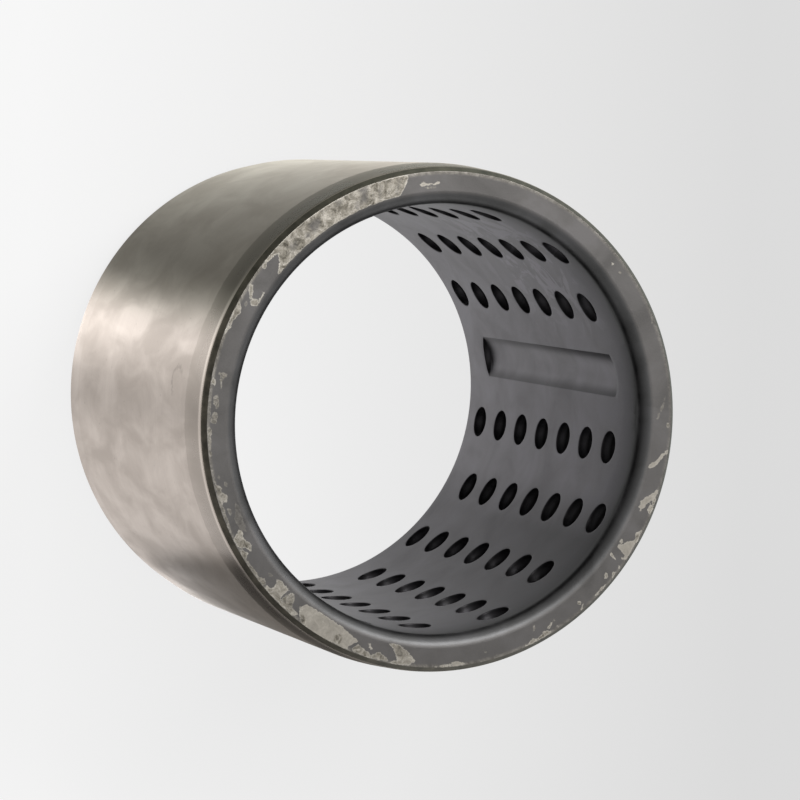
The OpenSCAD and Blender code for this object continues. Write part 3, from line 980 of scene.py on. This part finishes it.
def mirrored_floor(tree, place, off_axis, in_bore):
    """What mirrors see of the floor: white card inside the bore, and round the sleeve rings of
    lit and unlit card. Each ring takes over between two distances from the axis, and its light
    is given as (angle, light) round the sleeve."""
    turn = turn_towards(tree, place)
    cards = add(tree, "ValToRGB", {0: turn}, stops=by_turn([
        (0, 0.4), (40, 0.3), (70, 0.5), (88, 1.8), (98, 2.8), (118, 2.8), (128, 1.3), (134, 1.0),
        (152, 1.1), (168, 1.15), (178, 0.92), (185, 1.08), (191, 1.8), (198, 2.5), (203, 2.1),
        (208, 1.0), (213, 0.35), (222, 0.27), (236, 0.44), (246, 0.62), (260, 0.84), (275, 1.0),
        (295, 1.05), (320, 0.9), (340, 0.7), (360, 0.4),
    ]))
    for start, end, lights in (
        (55, 62, [
            (0, 0.4), (40, 0.2), (70, 0.1), (110, 0.03), (126, 0.03), (131, 1.0), (136, 1.05),
            (152, 1.15), (168, 1.12), (178, 0.92), (185, 1.08), (191, 1.95), (198, 2.6),
            (203, 2.4), (208, 1.4), (213, 0.4), (222, 0.22), (236, 0.46), (246, 0.75),
            (260, 1.15), (275, 1.35), (295, 1.4), (320, 1.0), (340, 0.7), (360, 0.4),
        ]),
        (72, 80, [
            (0, 0.4), (40, 0.2), (70, 0.1), (110, 0.04), (130, 0.08), (135, 0.9), (140, 1.15),
            (152, 1.2), (168, 1.2), (178, 0.93), (190, 1.5), (198, 1.85), (203, 1.6),
            (210, 0.65), (218, 0.16), (240, 0.12), (270, 0.14), (290, 0.2), (310, 0.5),
            (340, 0.5), (360, 0.4),
        ]),
        (130, 250, [
            (0, 0.8), (80, 0.8), (100, 0.35), (130, 0.35), (155, 0.9), (205, 0.9), (218, 0.4),
            (250, 0.35), (268, 0.7), (285, 1.1), (330, 0.9), (360, 0.8),
        ]),
    ):
        ring = add(tree, "MapRange", {0: off_axis, 1: start * MM, 2: end * MM})
        light = add(tree, "ValToRGB", {0: turn}, stops=by_turn(lights))
        cards = add(tree, "Mix", {0: ring, 6: cards, 7: light}, **COLOUR_MIX)
    tint = add(tree, "ValToRGB", {0: turn}, stops=[
        (0.0, (0.96, 1.0, 0.96, 1.0)), (0.36, (1.0, 0.972, 0.985, 1.0)),
        (0.56, (1.0, 0.975, 0.98, 1.0)), (0.6, (0.955, 1.0, 0.94, 1.0)),
        (0.8, (0.935, 1.0, 0.95, 1.0)), (1.0, (0.96, 1.0, 0.96, 1.0)),
    ])
    cards = add(tree, "Mix", {0: 1.0, 6: cards, 7: tint}, blend_type="MULTIPLY", **COLOUR_MIX)

    outwards = add(tree, "MapRange", {0: off_axis, 2: FACE_INNER_R * MM})
    white = add(tree, "ValToRGB", {0: outwards}, stops=[
        (0.0, share_of_glow(0.4)), (0.4, share_of_glow(1.25)), (0.92, share_of_glow(1.35)),
        (1.0, share_of_glow(0.6)),
    ])
    around = add(tree, "ValToRGB", {0: turn}, stops=[
        (0.0, grey(1.0)), (0.08, grey(0.9)), (0.15, grey(0.85)), (0.22, grey(1.0)),
        (0.6, grey(0.85)), (0.83, grey(0.95)), (1.0, grey(1.0)),
    ])
    white = add(tree, "Mix", {0: 1.0, 6: white, 7: around}, blend_type="MULTIPLY", **COLOUR_MIX)
    return add(tree, "Mix", {0: in_bore, 6: cards, 7: white}, **COLOUR_MIX)


def floor():
    """A plain pale floor. The camera sees it near white, a little darker to one side, whatever
    falls on it. The rest of it takes light as matt card does, so that the sleeve keeps its
    shadow."""
    reach = 5000 * MM
    corners = [(-reach, -reach, 0), (reach, -reach, 0), (reach, reach, 0), (-reach, reach, 0)]
    plane = bpy.data.meshes.new("studio_floor")
    plane.from_pydata(corners, [], [(0, 1, 2, 3)])
    ground = bpy.data.objects.new("studio_floor", plane)
    bpy.context.scene.collection.objects.link(ground)
    made, tree = material("matt_pale_card")
    plane.materials.append(made)
    place = add(tree, "TexCoord", output="Object")
    off_axis = add(tree, "VectorMath", {0: place}, output="Value", operation="LENGTH")
    in_bore = add(tree, "Math", {0: off_axis, 1: FACE_INNER_R * MM}, operation="LESS_THAN")
    darker = (0.986, -0.165, 0)
    across = add(tree, "VectorMath", {0: place, 1: darker}, output="Value", operation="DOT_PRODUCT")
    pale = add(tree, "Mix", {
        0: add(tree, "MapRange", {0: across, 1: -55 * MM, 2: 105 * MM}),
        6: share_of_glow(0.97),
        7: share_of_glow(0.71),
    }, **COLOUR_MIX)
    glossy = add(tree, "LightPath", output="Is Glossy Ray")
    through = add(tree, "LightPath", output="Is Transmission Ray")
    viewed = add(tree, "LightPath", output="Is Camera Ray")
    mirrored = mirrored_floor(tree, place, off_axis, in_bore)
    glow = add(tree, "Emission", {
        "Color": add(tree, "Mix", {0: glossy, 6: pale, 7: mirrored}, **COLOUR_MIX),
        "Strength": GLOW,
    })
    share = add(tree, "MapRange", {0: in_bore, 3: 0.86, 4: 0.97})
    share = add(tree, "Math", {0: viewed, 1: share}, operation="MULTIPLY")
    share = add(tree, "Math", {0: share, 1: glossy}, operation="MAXIMUM")
    share = add(tree, "Math", {0: share, 1: through}, operation="MAXIMUM")
    matt = add(tree, "BsdfDiffuse", {"Color": grey(0.8)})
    add(tree, "OutputMaterial", {"Surface": add(tree, "MixShader", {0: share, 1: matt, 2: glow})})


def surroundings():
    """Even light from all round, and for mirrors the walls of the room, dark on the camera's
    side, with a grey ceiling"""
    world = bpy.data.worlds.new("studio")
    bpy.context.scene.world = world
    world.use_nodes = True
    tree = world.node_tree
    tree.nodes.clear()
    direction = add(tree, "TexCoord", output="Generated")
    walls = add(tree, "ValToRGB", {0: turn_towards(tree, direction)}, stops=by_turn([
        (0, 0.8), (60, 1.2), (110, 1.0), (140, 0.4), (165, 0.12), (200, 0.12), (235, 0.4),
        (260, 0.9), (290, 1.5), (330, 1.3), (360, 0.8),
    ]))
    upwards = add(tree, "SeparateXYZ", {0: direction}, output=2)
    ceiling = add(tree, "MapRange", {0: upwards, 1: 0.25, 2: 0.6})
    mirrored = add(tree, "Mix", {0: ceiling, 6: walls, 7: share_of_glow(0.34)}, **COLOUR_MIX)
    light = add(tree, "Mix", {
        0: add(tree, "LightPath", output="Is Glossy Ray"),
        6: share_of_glow(0.43),
        7: mirrored,
    }, **COLOUR_MIX)
    light = add(tree, "Mix", {
        0: add(tree, "LightPath", output="Is Camera Ray"),
        6: light,
        7: share_of_glow(0.82),
    }, **COLOUR_MIX)
    background = add(tree, "Background", {"Color": light, "Strength": GLOW})
    add(tree, "OutputWorld", {"Surface": background})


def lamp(name, place, aim, size, power):
    """A square soft box that points from its place to its aim. Lengths in millimetres, power in
    watts."""
    light = bpy.data.lights.new(name, "AREA")
    light.size = size * MM
    light.energy = power
    box = bpy.data.objects.new(name, light)
    box.location = Vector(place) * MM
    box.rotation_euler = (Vector(aim) - Vector(place)).to_track_quat("-Z", "Y").to_euler()
    bpy.context.scene.collection.objects.link(box)


def camera():
    """Looks down on the upper face at the photograph's angle. Lengths in millimetres."""
    place = Vector((-235.2, 94.1, 728.9))
    aim = Vector((-8.01, 5.42, 90))
    up = Vector((0.1892, 0.9795, -0.0687))
    back = (place - aim).normalized()
    right = up.cross(back).normalized()
    frame_axes = Matrix((right, back.cross(right), back)).transposed()
    lens = bpy.data.cameras.new("camera")
    lens.lens = 167.36
    lens.sensor_width = 36
    lens.clip_start = 10 * MM
    lens.clip_end = 50000 * MM
    viewer = bpy.data.objects.new("camera", lens)
    viewer.matrix_world = Matrix.Translation(place * MM) @ frame_axes.to_4x4()
    bpy.context.scene.collection.objects.link(viewer)
    bpy.context.scene.camera = viewer


floor()
surroundings()
lamp("soft_box", place=(530, 460, 1090), aim=(0, 0, LENGTH), size=500, power=9.3)
camera()
bpy.context.scene.view_settings.view_transform = "Standard"
